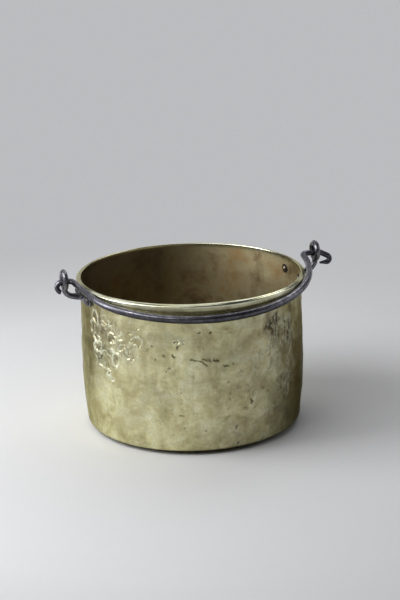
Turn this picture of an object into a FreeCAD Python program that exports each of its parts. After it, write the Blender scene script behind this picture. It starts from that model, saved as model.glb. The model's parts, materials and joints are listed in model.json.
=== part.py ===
import FreeCAD, Part
import math
import os
from FreeCAD import Placement, Rotation, Vector

# Round brass hearth pot with a forged iron bail, kept beside the fire for logs.
# The origin is on the floor under the middle of the pot, with Z up. X runs along
# the bail's pivots, and the bail lies down at the front, on the -Y side.
# Lengths are in millimetres and angles in degrees.

# Pot: one raised brass sheet, its edge rolled outward over an iron hoop
rim_diameter = 370.0
pot_height = 248.5
sheet = 1.6
roll_width = 8.0
roll_height = 14.0
roll_lap = 118.0       # how far the fold tucks back in under the hoop
hoop_gap = 0.2         # between the hoop and the brass folded over it
neck_drop = 50.0       # straight neck, from the rim's top down
belly_height = 100.0   # widest level of the wall
belly_swell = 1.8      # belly beyond the neck
foot_height = 12.0     # where the wall turns under
foot_inset = 5.4       # foot inside the belly
corner_radius = 7.0
base_tilt = 5.0        # the underside climbs to the foot's corner

# Lugs: a strap on the wall, with an arm that carries an upright eye
strap_length = 90.0
strap_height = 13.5
strap_thickness = 4.5
strap_drop = 0.8       # strap's top edge below the roll
strap_corner = 6.0
strap_edge = 1.0       # rounding of the strap's outer edges
left_eye_offset = 22.8   # eye's plane beyond the rim, which differs by hand
right_eye_offset = 29.0
left_eye_rise = 7.7    # eye's middle above the rim's top
right_eye_rise = 13.2
eye_bore = 15.5
eye_bar = 9.5
arm_root_width = 17.0
waist_width = 11.0
waist_height = 10.0
waist_reach = 0.5      # shares of the arm's run and rise, from the strap to the eye
waist_climb = 0.1
waist_tilt = 15.0
elbow_diameter = 9.0
elbow_reach = 0.88
elbow_climb = 0.4
elbow_tilt = 50.0
seat_gap = 0.1         # between pieces that are riveted together

# Rivets and the roves that they are clenched over
rivet_inset = 11.0     # from the strap's end
rivet_shank = 6.0
rivet_head = 14.0
rivet_head_rise = 4.0
clench = 9.6
clench_rise = 2.4
rove_diameter = 15.0
rove_thickness = 1.5

# Bail: a half round rod, thicker at the grip, with a straighter left leg and hooked ends
grip_diameter = 12.6
rod_diameter = 9.4
bail_clearance = 3.2   # grip beyond the rim
bail_shift = 3.0       # the bail lies off centre, towards the left eye
bail_droop = 8.4       # below level, where it lies at the front
left_leg_lean = 13.5   # the left leg's angle to Y, which brings it in towards the rim
left_bend_radius = 119.0
left_bend_sweep = 25.0  # from the leg into the half round
shoulder_radius = 8.0  # bend into the pivot
running_gap = 0.3      # under the rod, in the eye
hook_turn = 66.0       # hooks out of the bail's plane
hook_gap = 0.8         # hook's tip to the eye's outer face
left_hook_radius = 8.2
left_hook_sweep = 160.0
left_hook_tip = 7.6    # diameter at the blunt end
left_tip_edge = 1.2    # rounding of the blunt end
right_dip = 29.0       # the right hook's arm dips before it bends back
right_dip_radius = 10.0
right_hook_arm = 13.0
right_hook_radius = 5.6
right_hook_neck = 8.4  # rod's diameter where the return starts
right_hook_tip = 3.6

# Places that follow from the sizes
rim_radius = rim_diameter / 2
roll_outer = roll_width / 2
roll_inner = roll_outer - sheet
roll_middle = rim_radius - roll_outer
roll_top = pot_height - roll_outer
roll_bottom = pot_height - roll_height + roll_outer
neck_inside = rim_radius - roll_width
neck_outside = neck_inside + sheet
neck_bottom = pot_height - neck_drop
belly_radius = neck_outside + belly_swell
strap_inside = neck_outside + seat_gap
strap_outside = strap_inside + strap_thickness
strap_middle = pot_height - roll_height - strap_drop - strap_height / 2
rivet_spacing = strap_length - 2 * rivet_inset
rivet_angle = math.degrees(rivet_spacing / 2 / strap_outside)
left_eye_x = rim_radius + left_eye_offset
right_eye_x = rim_radius + right_eye_offset
left_eye_z = pot_height + left_eye_rise
right_eye_z = pot_height + right_eye_rise
eye_radius = (eye_bore + eye_bar) / 2
rod_radius = rod_diameter / 2
bail_radius = rim_radius + bail_clearance + grip_diameter / 2
right_lean = math.degrees(math.asin(shoulder_radius / (bail_radius + shoulder_radius)))
left_turn = left_leg_lean + left_bend_sweep
hook_limit = eye_bar / 2 + hook_gap    # nearest that a hook's tip comes to the eye's plane

# The rod lies in the bottom of both eyes, so that the pivot leans as they do
pivot_slope = (right_eye_z - left_eye_z) / (right_eye_x + left_eye_x)
pivot_lean = math.degrees(math.atan(pivot_slope))
pivot_z = left_eye_z + pivot_slope * left_eye_x - eye_bore / 2 + rod_radius + running_gap

# Sections that the tapering bends are lofted through
grip_stations = 13
hook_stations = 9

UP = Vector(0, 0, 1)
ALONG = Vector(1, 0, 0)
BACK = Vector(0, 1, 0)
ORIGIN = Vector(0, 0, 0)
HOOK_WAY = Rotation(ALONG, hook_turn).multVec(BACK * -1)    # from the pivot to the hook's return


def section_point(centre, radius, angle):
    """Point of the XZ plane at an angle round a centre given as (radius, height)."""
    turn = math.radians(angle)
    return Vector(centre[0] + radius * math.cos(turn), 0, centre[1] + radius * math.sin(turn))


def section_arc(centre, radius, start, end):
    points = [section_point(centre, radius, angle) for angle in (start, (start + end) / 2, end)]
    return Part.Arc(*points).toShape()


def joined(arcs):
    """Closed face from arcs and lines in order, with a line across each gap."""
    edges = []
    for piece, following in zip(arcs, arcs[1:] + arcs[:1]):
        edges.append(piece)
        start = piece.lastVertex(True).Point
        end = following.firstVertex(True).Point
        if start.distanceToPoint(end) > 1e-6:
            edges.append(Part.makeLine(start, end))
    return Part.Face(Part.Wire(edges))


def line(start, end):
    return Part.makeLine(Vector(start[0], 0, start[1]), Vector(end[0], 0, end[1]))


def full_turn(face):
    return face.revolve(ORIGIN, UP, 360)


def arc_radius(rise, chord):
    """Radius of an arc that leaves its tangent by rise over a run of chord."""
    return (chord ** 2 + rise ** 2) / (2 * rise)


def brass_body():
    """The raised sheet: base, wall and rolled edge, with the rivets' holes."""
    upper = arc_radius(belly_swell, neck_bottom - belly_height)
    lower = arc_radius(foot_inset, belly_height - foot_height)
    upper_centre = (belly_radius - upper, belly_height)
    lower_centre = (belly_radius - lower, belly_height)
    upper_turn = math.degrees(math.asin((neck_bottom - belly_height) / upper))
    lower_turn = -math.degrees(math.asin((belly_height - foot_height) / lower))
    foot = section_point(lower_centre, lower - corner_radius, lower_turn)
    corner = (foot.x, foot.z)
    under = base_tilt - 90
    edge = section_point(corner, corner_radius, under)
    flat = edge.x - edge.z / math.tan(math.radians(base_tilt))
    flat_inside = flat - sheet * math.tan(math.radians(base_tilt / 2))
    top = (roll_middle, roll_top)
    bottom = (roll_middle, roll_bottom)
    outline = [
        line((0, 0), (flat, 0)),
        section_arc(corner, corner_radius, under, lower_turn),
        section_arc(lower_centre, lower, lower_turn, 0),
        section_arc(upper_centre, upper, 0, upper_turn),
        section_arc(top, roll_inner, 180, 0),
        section_arc(bottom, roll_inner, 0, -roll_lap),
        section_arc(bottom, roll_outer, -roll_lap, 0),
        section_arc(top, roll_outer, 0, 180),
        section_arc(upper_centre, upper - sheet, upper_turn, 0),
        section_arc(lower_centre, lower - sheet, 0, lower_turn),
        section_arc(corner, corner_radius - sheet, lower_turn, under),
        line((flat_inside, sheet), (0, sheet)),
    ]
    return full_turn(joined(outline)).cut(rivet_holes())


def rim_hoop():
    """Flat iron hoop with round edges, inside the roll."""
    radius = roll_inner - hoop_gap
    outline = [
        section_arc((roll_middle, roll_top), radius, 0, 180),
        section_arc((roll_middle, roll_bottom), radius, 180, 360),
    ]
    return full_turn(joined(outline))


def rivet_places():
    """Name and azimuth of each rivet."""
    return {
        "right_front": -rivet_angle,
        "right_back": rivet_angle,
        "left_front": 180 + rivet_angle,
        "left_back": 180 - rivet_angle,
    }


def on_wall(shape, azimuth):
    """Places a shape whose Z axis points out of the wall, at the straps' level."""
    aim = Rotation(UP, azimuth) * Rotation(BACK, 90)
    placed = shape.copy()
    placed.Placement = Placement(Vector(0, 0, strap_middle), aim)
    return placed


def rivet_holes():
    """Bores of the four rivets, each from half way out, so that they don't meet at the pot's axis."""
    start = rim_radius / 2
    hole = Part.makeCylinder(rivet_shank / 2 + seat_gap, rim_radius - start, UP * start)
    return Part.makeCompound([on_wall(hole, azimuth) for azimuth in rivet_places().values()])


def dome(diameter, rise, height, way):
    """Round head on the rivet's axis: a slice of a ball, its flat side at a height."""
    ball = arc_radius(rise, diameter / 2)
    middle = height + way * (rise - ball)
    block = Part.makeCylinder(diameter, rise, Vector(0, 0, height), UP * way)
    return Part.makeSphere(ball, Vector(0, 0, middle)).common(block)


def rove_seat():
    """Distance from the pot's axis to the rove's outer face, flat on a hollow wall."""
    return math.sqrt(neck_inside ** 2 - (rove_diameter / 2) ** 2) - seat_gap


def rove():
    """Washer inside the pot, under the clenched end of a rivet."""
    foot = Vector(0, 0, rove_seat() - rove_thickness)
    plate = Part.makeCylinder(rove_diameter / 2, rove_thickness, foot)
    hole = Part.makeCylinder(rivet_shank / 2 + seat_gap, rove_thickness, foot)
    return plate.cut(hole)


def rivet():
    """Round head on the strap, shank through strap and wall, end clenched on the rove."""
    head_seat = strap_outside + seat_gap
    clench_seat = rove_seat() - rove_thickness - seat_gap
    shank = Part.makeCylinder(rivet_shank / 2, head_seat - clench_seat, Vector(0, 0, clench_seat))
    head = dome(rivet_head, rivet_head_rise, head_seat, 1)
    end = dome(clench, clench_rise, clench_seat, -1)
    return shank.fuse([head, end]).removeSplitter()


def strap():
    """Flat bar bent to the wall, with round ends and eased outer edges."""
    span = math.degrees(strap_length / strap_outside)
    low = strap_middle - strap_height / 2
    corners = [
        Vector(strap_inside, 0, low),
        Vector(strap_outside, 0, low),
        Vector(strap_outside, 0, low + strap_height),
        Vector(strap_inside, 0, low + strap_height),
    ]
    bar = Part.Face(Part.makePolygon(corners + corners[:1])).revolve(ORIGIN, UP, span)
    bar.rotate(ORIGIN, UP, -span / 2)
    ends = [edge for edge in bar.Edges if is_radial(edge)]
    rounded = bar.makeFillet(strap_corner, ends)
    rim = [edge for edge in rounded.Edges if is_outer(edge)]
    return rounded.makeFillet(strap_edge, rim)


def is_radial(edge):
    return abs(edge.Length - strap_thickness) < strap_edge / 10


def is_outer(edge):
    """Edge that lies wholly on the strap's outer face."""
    points = [edge.valueAt(value) for value in edge.ParameterRange]
    points.append(edge.valueAt(sum(edge.ParameterRange) / 2))
    return all(abs(math.hypot(point.x, point.y) - strap_outside) < 1e-4 for point in points)


def oval(width, height, place, tilt):
    """Oval section across the arm's path, which climbs by tilt towards the eye."""
    ring = Part.makeCircle(0.5)
    scale = FreeCAD.Matrix()
    scale.scale(Vector(height, width, 1))
    stretched = ring.transformGeometry(scale)
    aim = Rotation(BACK, 90 - tilt)
    stretched.Placement = Placement(place, aim)
    return Part.Wire([stretched])


def arm(eye_x, eye_z):
    """Forged arm from the strap out under the rim and up into the eye."""
    root = Vector(strap_inside + strap_thickness / 2, 0, strap_middle)
    end = Vector(eye_x, 0, eye_z - eye_radius)
    reach = ALONG * (end.x - root.x)
    climb = UP * (end.z - root.z)
    waist = root + reach * waist_reach + climb * waist_climb
    elbow = root + reach * elbow_reach + climb * elbow_climb
    sections = [
        oval(arm_root_width, strap_height - 2 * strap_edge, root, 0),
        oval(waist_width, waist_height, waist, waist_tilt),
        oval(elbow_diameter, elbow_diameter, elbow, elbow_tilt),
        oval(eye_bar, eye_bar, end, 90),
    ]
    return Part.makeLoft(sections, True)


def lug(eye_x, eye_z):
    """Lug on the right: strap, arm and eye in one forging, with two rivet holes."""
    eye = Part.makeTorus(eye_radius, eye_bar / 2, Vector(eye_x, 0, eye_z), ALONG)
    return strap().fuse([arm(eye_x, eye_z), eye]).cut(rivet_holes()).removeSplitter()


def rod_section(radius, place, aim):
    """Round section of the rod. Its own normal is X before it is aimed."""
    ring = Part.makeCircle(radius, ORIGIN, ALONG)
    ring.Placement = Placement(place, aim)
    return Part.Wire([ring])


def grip_radius(turn):
    """Radius of the rod on the half round, at an angle from the pivot."""
    return rod_radius + math.sin(math.radians(turn)) * (grip_diameter - rod_diameter) / 2


def level_section(centre, reach, turn, radius):
    """Section of the rod on a level arc, at an angle from +X towards -Y."""
    place = centre + Rotation(UP, -turn).multVec(ALONG * reach)
    return rod_section(radius, place, Rotation(UP, -turn - 90))


def grip():
    """Half round of the bail, level and towards -Y, from the right shoulder to the left bend."""
    sections = []
    for station in range(grip_stations):
        turn = right_lean + (180 - left_turn - right_lean) * station / (grip_stations - 1)
        sections.append(level_section(ORIGIN, bail_radius, turn, grip_radius(turn)))
    return Part.makeLoft(sections, True)


def left_leg():
    """Bend from the half round and the straight leg, on the right. Gives the solids and where they end."""
    centre = Rotation(UP, -left_turn).multVec(ALONG * (bail_radius - left_bend_radius))
    sections = []
    for station in range(hook_stations):
        share = station / (hook_stations - 1)
        radius = grip_radius(left_turn) * (1 - share) + rod_radius * share
        turn = left_turn - left_bend_sweep * share
        sections.append(level_section(centre, left_bend_radius, turn, radius))
    aim = Rotation(UP, -left_leg_lean)
    start = centre + aim.multVec(ALONG * left_bend_radius)
    way = aim.multVec(BACK)
    length = (shoulder_radius * (way.x - 1) - start.y) / way.y
    leg = Part.makeCylinder(rod_radius, length, start, way)
    return [Part.makeLoft(sections, True), leg], start + way * length


def hook_aim(turn):
    """Aim of the rod where it has turned by an angle from +X towards the hook's return."""
    return Rotation(ALONG.cross(HOOK_WAY), turn)


def bend(place, turn, radius, sweep, start, end):
    """Tapering bend of the rod in the hook's plane. Gives the solid and the place where it ends."""
    centre = place + hook_aim(turn).multVec(HOOK_WAY * radius)
    sections = []
    for station in range(hook_stations):
        share = station / (hook_stations - 1)
        aim = hook_aim(turn + sweep * share)
        place = centre - aim.multVec(HOOK_WAY * radius)
        sections.append(rod_section(start + (end - start) * share, place, aim))
    return Part.makeLoft(sections, True), place


def straight(place, turn, length, start, end):
    """Tapering straight of the rod in the hook's plane. Gives the solid and the place where it ends."""
    aim = hook_aim(turn)
    far = place + aim.multVec(ALONG * length)
    return Part.makeLoft([rod_section(start, place, aim), rod_section(end, far, aim)], True), far


def left_hook(eye_x):
    """Open hook whose blunt end stops just outside the eye. Gives its solids and where it starts."""
    tip = left_hook_tip / 2
    sweep = math.radians(left_hook_sweep)
    start = ALONG * (eye_x + hook_limit - (left_hook_radius - tip) * math.sin(sweep))
    hook, end = bend(start, 0, left_hook_radius, left_hook_sweep, rod_radius, tip)
    blunt = [edge for edge in hook.Edges if edge.isClosed() and edge.CenterOfMass.isEqual(end, tip / 10)]
    return [hook.makeFillet(left_tip_edge, blunt)], start


def right_hook(eye_x):
    """Nearly closed hook with a dipping arm, and a return drawn out to a point that stops at the eye."""
    start = ALONG * (eye_x + eye_bar / 2)
    neck = right_hook_neck / 2
    tip = right_hook_tip / 2
    dip, place = bend(start, 0, right_dip_radius, right_dip, rod_radius, rod_radius)
    reach, place = straight(place, right_dip, right_hook_arm, rod_radius, rod_radius)
    back, place = bend(place, right_dip, right_hook_radius, 180 - right_dip, rod_radius, neck)
    length = place.x - eye_x - hook_limit - tip
    point, place = straight(place, 180, length, neck, tip)
    return [dip, reach, back, point, Part.makeSphere(tip, place)], start


def bail_end(inner_x, lean, eye_x, hook):
    """End of the bail on the right: shoulder, pivot and hook.

    The shoulder starts at inner_x, where the rod leans from Y. Places are from the middle of the bail.
    """
    hook_pieces, hook_start = hook(eye_x)
    shoulder_x = inner_x + shoulder_radius * math.cos(math.radians(lean))
    inner_end = Part.Face(rod_section(rod_radius, ALONG * shoulder_x, Rotation()))
    shoulder = inner_end.revolve(Vector(shoulder_x, -shoulder_radius, 0), UP, 90 - lean)
    pivot = Part.makeCylinder(rod_radius, hook_start.x - shoulder_x, ALONG * shoulder_x, ALONG)
    return [shoulder, pivot] + hook_pieces


def bail_handle():
    """The whole bail in its resting place, lowered at the front."""
    grip_end_x = bail_radius * math.cos(math.radians(right_lean))
    right = bail_end(grip_end_x, right_lean, right_eye_x + bail_shift, right_hook)
    leg, leg_end = left_leg()
    left = leg + bail_end(leg_end.x, left_leg_lean, left_eye_x - bail_shift, left_hook)
    left = [piece.mirror(ORIGIN, ALONG) for piece in left]
    bail = grip().fuse(right + left).removeSplitter()
    bail.rotate(ORIGIN, ALONG, bail_droop)
    bail.translate(ALONG * -bail_shift)
    bail.rotate(ORIGIN, BACK, -pivot_lean)
    bail.translate(UP * pivot_z)
    return bail


def pieces():
    """Every piece of the pot by name."""
    left = lug(left_eye_x, left_eye_z)
    left.rotate(ORIGIN, UP, 180)
    made = {
        "brass_body": brass_body(),
        "rim_hoop": rim_hoop(),
        "lug_left": left,
        "lug_right": lug(right_eye_x, right_eye_z),
        "bail_handle": bail_handle(),
    }
    for place, azimuth in rivet_places().items():
        made["rivet_" + place] = on_wall(rivet(), azimuth)
        made["rove_" + place] = on_wall(rove(), azimuth)
    return made


os.makedirs("parts", exist_ok=True)
for name, shape in pieces().items():
    print(name, len(shape.Solids), round(shape.Volume), shape.isValid())
    shape.exportStep("parts/" + name + ".step")
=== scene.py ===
import json
import math

import bpy
import numpy as np
from mathutils import Matrix, Vector, noise


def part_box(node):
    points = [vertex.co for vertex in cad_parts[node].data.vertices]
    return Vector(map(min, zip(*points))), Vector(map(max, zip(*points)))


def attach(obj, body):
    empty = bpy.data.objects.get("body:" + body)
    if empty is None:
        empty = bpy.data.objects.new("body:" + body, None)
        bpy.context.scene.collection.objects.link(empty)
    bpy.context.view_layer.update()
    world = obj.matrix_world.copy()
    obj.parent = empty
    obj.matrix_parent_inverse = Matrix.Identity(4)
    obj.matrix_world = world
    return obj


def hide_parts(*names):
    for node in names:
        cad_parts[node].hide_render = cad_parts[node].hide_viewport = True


# Round brass hearth pot with a forged iron bail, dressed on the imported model.
# Shapes are worked out in millimetres in the model's own frame, then scaled to metres.
# Named angles are in degrees. Azimuths run from +X towards +Y. The camera stands near azimuth -106.

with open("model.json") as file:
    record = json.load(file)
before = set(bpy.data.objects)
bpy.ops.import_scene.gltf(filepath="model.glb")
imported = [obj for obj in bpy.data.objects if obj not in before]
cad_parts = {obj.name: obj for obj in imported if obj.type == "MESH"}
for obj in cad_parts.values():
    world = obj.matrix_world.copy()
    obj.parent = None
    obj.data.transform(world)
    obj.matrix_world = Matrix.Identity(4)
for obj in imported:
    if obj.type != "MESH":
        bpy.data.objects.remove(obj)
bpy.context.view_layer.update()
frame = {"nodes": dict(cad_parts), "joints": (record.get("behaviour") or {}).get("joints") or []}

MM = 0.001

# Section of the brass sheet
pot_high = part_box("brass_body")[1]
rim_radius = pot_high.x / MM
pot_height = pot_high.z / MM
sheet = 1.6
roll_width = 8.0
roll_height = 14.0
roll_lap = 118.0
neck_drop = 50.0
belly_height = 100.0
belly_swell = 1.8
foot_height = 12.0
foot_inset = 5.4
corner_radius = 7.0
base_tilt = 5.0

# Roll: an outer face that bows, a rounded shoulder, a face that slopes up and in, and a narrow lip
roll_face = 9.0
roll_shoulder = 3.0
roll_slope = (58.0, 74.0)
roll_lip = 1.6

# Grid of the brass mesh: columns are closer together in front, where the marks are placed
fine_front = (-178.0, -34.0)
fine_turn = 0.24
coarse_turn = 0.5
wall_step = 0.8
inside_step = 3.2
flat_points = 10
tilt_points = 14
bow_points = 9
round_points = 12
shoulder_points = 8
inner_corner_points = 7
floor_points = 24
same_place = 1e-6

# Bail
grip_diameter = 12.6
rod_diameter = 9.4
bail_clearance = 3.2
bail_shift = 3.0
bail_droop = 8.4
left_leg_lean = 13.5
left_bend_radius = 119.0
left_bend_sweep = 25.0
shoulder_radius = 8.0
hook_turn = 66.0
hook_gap = 0.8
left_hook_radius = 8.2
left_hook_sweep = 160.0
left_hook_tip = 7.6
left_tip_edge = 1.2
right_dip = 29.0
right_dip_radius = 10.0
right_hook_arm = 13.0
right_hook_radius = 5.6
right_hook_neck = 8.4
right_hook_tip = 3.6
eye_bar = 9.5
bail_step = 1.6
bend_step = 6.0
shoulder_rings = 10
end_turns = (30, 55, 75, 88)
bail_sides = 36

# Hammer marks of the bail, as shares of its radius, with their runs along it, fading near the hooks
flat_depth = 0.014
flat_count = 6
flat_sway = 0.8
flat_sway_run = 37.0
flat_shake = 0.5
flat_shake_run = 11.0
ripple_depth = 0.012
ripple_run = 6.3
ripple_swell_run = 23.0
oval_depth = 0.01
oval_run = 29.0
hammer_loss = 0.012
hooks_from = 0.86
hooks_run = 0.04
hooks_calm = 0.85


def arc_radius(rise, chord):
    """Radius of an arc that leaves its tangent by rise over a run of chord."""
    return (chord ** 2 + rise ** 2) / (2 * rise)


roll_outer = roll_width / 2
roll_inner = roll_outer - sheet
roll_middle = rim_radius - roll_outer
roll_top = pot_height - roll_outer
roll_bottom = pot_height - roll_height + roll_outer
neck_outside = rim_radius - roll_width + sheet
neck_bottom = pot_height - neck_drop
belly_radius = neck_outside + belly_swell
upper_arc = arc_radius(belly_swell, neck_bottom - belly_height)
lower_arc = arc_radius(foot_inset, belly_height - foot_height)
lower_turn = -math.asin((belly_height - foot_height) / lower_arc)
corner_r = belly_radius - lower_arc + (lower_arc - corner_radius) * math.cos(lower_turn)
corner_z = belly_height + (lower_arc - corner_radius) * math.sin(lower_turn)
rod_radius = rod_diameter / 2


def wall_radius(height):
    """Outer radius of the wall: two arcs that meet at the belly, then a straight neck."""
    above = np.clip(height - belly_height, 0, neck_bottom - belly_height)
    below = np.clip(belly_height - height, 0, None)
    inward = upper_arc - np.sqrt(upper_arc ** 2 - above ** 2)
    inward += lower_arc - np.sqrt(lower_arc ** 2 - below ** 2)
    return belly_radius - inward


def arc(centre_r, centre_z, radius, start, end, count):
    turn = np.linspace(start, end, count)
    return np.column_stack([centre_r + radius * np.cos(turn), centre_z + radius * np.sin(turn)])


def straight(start, end, count):
    share = np.linspace(0, 1, count)[:, None]
    return np.array(start) * (1 - share) + np.array(end) * share


def climb(low, high, step, inset):
    """Points up the wall from one height to another, set in from its outside."""
    heights = np.linspace(low, high, round(abs(high - low) / step))
    return np.column_stack([wall_radius(heights) - inset, heights])


def toward(turn):
    """Unit step in a plane, at an angle in radians."""
    return np.array([math.cos(turn), math.sin(turn)])


UNDER, WALL, ROLL, INSIDE = range(4)


def section():
    """Outline of the sheet from the middle of the underside, over the rim, to the middle inside.

    Gives the points as (radius, height) and the part of the pot that each belongs to.
    """
    tilt = math.radians(base_tilt)
    turned = tilt - math.pi / 2
    lap = math.radians(roll_lap)
    corner = np.array([corner_r, corner_z])
    edge = corner + corner_radius * toward(turned)
    inner_edge = corner + (corner_radius - sheet) * toward(turned)
    flat_r = edge[0] - edge[1] / math.tan(tilt)
    inner_r = flat_r - sheet * math.tan(tilt / 2)
    foot = corner_z + corner_radius * math.sin(lower_turn)
    inner_foot = corner_z + (corner_radius - sheet) * math.sin(lower_turn)
    tuck = roll_bottom + roll_inner * math.sin(-lap)
    lip_z = pot_height - roll_lip
    lip = np.array([rim_radius - roll_width + roll_lip, lip_z])
    face = math.radians(roll_face)
    slope_low, slope_high = (math.radians(turn) for turn in roll_slope)
    at_face = toward(face)
    at_low = toward(slope_low)
    at_high = toward(slope_high)
    foot_of_face = np.array([rim_radius, roll_bottom])
    bows = np.column_stack([at_face - [1, 0], at_high - at_low])
    reach = lip + roll_lip * at_high - roll_shoulder * (at_low - at_face) - foot_of_face
    face_radius, slope_radius = np.linalg.solve(bows, reach)
    slope_middle = lip - (slope_radius - roll_lip) * at_high
    shoulder = slope_middle + (slope_radius - roll_shoulder) * at_low
    runs = [
        (UNDER, straight((0, 0), (flat_r, 0), flat_points)),
        (UNDER, straight((flat_r, 0), edge, tilt_points)),
        (WALL, arc(*corner, corner_radius, turned, lower_turn, bow_points)),
        (WALL, climb(foot, tuck, wall_step, 0)),
        (ROLL, arc(roll_middle, roll_bottom, roll_inner, -lap, -lap, 1)),
        (ROLL, arc(roll_middle, roll_bottom, roll_outer, -lap, 0, round_points)),
        (ROLL, arc(rim_radius - face_radius, roll_bottom, face_radius, 0, face, bow_points)),
        (ROLL, arc(*shoulder, roll_shoulder, face, slope_low, shoulder_points)),
        (ROLL, arc(*slope_middle, slope_radius, slope_low, slope_high, bow_points)),
        (ROLL, arc(*lip, roll_lip, slope_high, math.pi, round_points)),
        (INSIDE, climb(lip_z, inner_foot, inside_step, sheet)),
        (INSIDE, arc(*corner, corner_radius - sheet, lower_turn, turned, inner_corner_points)),
        (INSIDE, straight(inner_edge, (inner_r, sheet), floor_points)),
        (INSIDE, straight((inner_r, sheet), (0, sheet), floor_points)),
    ]
    points, zones = [], []
    for zone, run in runs:
        for point in run:
            if points and np.hypot(*(point - points[-1])) < same_place:
                continue
            points.append(point)
            zones.append(zone)
    return np.array(points), np.array(zones)


# Marks on the wall, placed by azimuth and height, with sizes in mm. Those at the back are free.

# Dents: azimuth, height, half width, half height, depth and the rise of the lip
placed_dents = [
    (-162.4, 174, 10.0, 5.5, 0.9, 0.6), (-161.8, 160, 10.5, 7.8, 1.2, 0.8),
    (-150.2, 178, 9.5, 6.8, 1.3, 1.0), (-149.8, 178, 3.5, 3.0, 0.6, 0.3),
    (-147.7, 146, 7.0, 9.0, 1.1, 0.75), (-155.5, 141, 16.0, 14.0, 0.9, 0.5),
    (-152.2, 120, 6.0, 5.0, 0.9, 0.8), (-149.9, 113, 3.6, 3.2, 0.6, 0.5),
    (-166.5, 188, 8.0, 6.0, 1.1, 0.5), (-164.0, 206, 9.0, 11.0, 1.2, 0.55),
    (-155.5, 204, 9.0, 10.0, 1.1, 0.4), (-135.3, 183, 10.0, 6.0, 0.8, 0.45),
    (-143.5, 169, 9.0, 6.0, 1.0, 0.55), (-140.5, 158, 7.0, 5.0, 0.8, 0.45),
    (-144.5, 186, 6.0, 5.0, 0.8, 0.45), (-138.0, 197, 9.0, 4.0, 0.9, 0.15),
    (-133.2, 205, 4.0, 4.0, 0.9, 0.4), (-137.0, 154, 5.0, 4.5, 0.7, 0.25),
    (-113.5, 190, 4.0, 5.0, 1.6, 0.5), (-110.6, 185, 3.0, 4.0, 1.0, 0.3),
    (-51.5, 92, 9.0, 20.0, 2.0, 0.2), (-62.0, 72, 26.0, 24.0, 1.0, 0.0),
    (-68.5, 13, 7.0, 4.0, 1.0, 0.3), (-88.0, 32, 22.0, 14.0, 0.9, 0.0),
    (-95.0, 62, 40.0, 26.0, 0.8, 0.0), (-122.0, 116, 34.0, 20.0, 0.8, 0.0),
]

# Dented patches: azimuth, height, half spread in each, count, size, height for width and depth
dented_patches = [
    (-152, 165, 13, 45, 26, (2.5, 6.0), 1.0, (0.3, 0.8)),
    (-133, 190, 9, 26, 10, (2.0, 4.0), 1.0, (0.2, 0.5)),
    (-60, 186, 8, 34, 20, (2.0, 3.5), 3.0, (0.3, 0.7)),
    (-48, 160, 7, 40, 16, (2.0, 3.5), 2.4, (0.3, 0.8)),
    (-72, 130, 12, 50, 16, (2.5, 5.0), 1.6, (0.1, 0.3)),
    (38, 175, 14, 45, 26, (2.5, 6.0), 1.6, (0.3, 0.8)),
    (146, 160, 13, 50, 26, (2.5, 7.0), 1.2, (0.3, 0.9)),
    (95, 110, 30, 60, 20, (3.0, 7.0), 1.2, (0.2, 0.5)),
]

# Crinkled patches: azimuth, height, half spread in each, count, length, lean from upright and most rise
crinkled_patches = [
    (-154, 158, 9, 36, 30, (6.0, 15.0), 70, 0.55),
    (-162, 204, 7, 18, 22, (10.0, 24.0), 20, 0.65),
    (-149, 206, 8, 16, 14, (8.0, 18.0), 60, 0.45),
    (-136, 178, 7, 24, 22, (5.0, 12.0), 90, 0.40),
    (-61, 196, 6, 24, 64, (8.0, 22.0), 16, 0.95),
    (-50, 176, 6, 36, 60, (8.0, 22.0), 24, 0.90),
    (-52, 88, 8, 34, 18, (8.0, 22.0), 40, 0.55),
    (-74, 110, 14, 50, 50, (6.0, 14.0), 90, 0.35),
    (-66, 165, 9, 50, 50, (6.0, 18.0), 20, 0.45),
    (-88, 190, 14, 30, 30, (4.0, 9.0), 90, 0.22),
    (38, 175, 12, 40, 30, (8.0, 20.0), 40, 0.60),
    (146, 160, 11, 45, 30, (6.0, 16.0), 60, 0.60),
]

# Ridges: azimuth and height of both ends, half width and rise
ridges = [
    (-165.5, 150, -158.8, 129, 1.7, 0.9), (-153.4, 165, -144.0, 154, 2.2, 1.1),
    (-151.5, 150, -148.9, 128, 1.5, 0.7), (-149.2, 151, -145.5, 137, 1.5, 0.6),
    (-159.5, 205, -148.5, 196, 1.7, 0.7), (-168.0, 216, -166.5, 192, 1.6, 0.6),
    (-161.5, 216, -160.0, 190, 1.6, 0.55), (-143.5, 168, -134.5, 169, 1.8, 0.45),
    (-142.0, 160, -136.0, 163, 1.6, 0.35), (-47.5, 108, -54.0, 80, 2.2, 1.4),
    (-54.5, 66, -74.0, 53, 2.4, 0.4), (-79.5, 22, -73.0, 42, 1.8, 0.45),
    (-92.0, 38, -79.0, 30, 2.2, 0.35), (-77.0, 78, -71.5, 98, 1.8, 0.4),
    (60.0, 60, 84.0, 96, 2.4, 0.6), (120.0, 90, 132.0, 60, 2.4, 0.6),
]

# Patches of tarnish and of painted shade: the broad ones on the right side and low down on the front right
# paint shade, the others are tarnish. Azimuth, height, half width, half height and strength
tarnish_and_shade_patches = [
    (-162, 172, 42, 56, 1.0), (-172, 160, 30, 80, 0.9), (-137, 186, 30, 26, 0.35),
    (-143, 166, 24, 24, 0.6), (-62, 198, 24, 36, 0.95), (-44, 196, 28, 48, 1.0),
    (-57, 96, 12, 18, 1.0), (-55, 165, 36, 58, 0.9), (-30, 120, 75, 130, 1.0),
    (-56, 60, 50, 60, 0.75), (-84, 26, 82, 50, 0.55), (-74, 130, 95, 130, 0.44),
    (-121, 92, 32, 28, 0.3), (38, 175, 45, 50, 0.5), (146, 160, 45, 55, 0.5),
]

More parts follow.
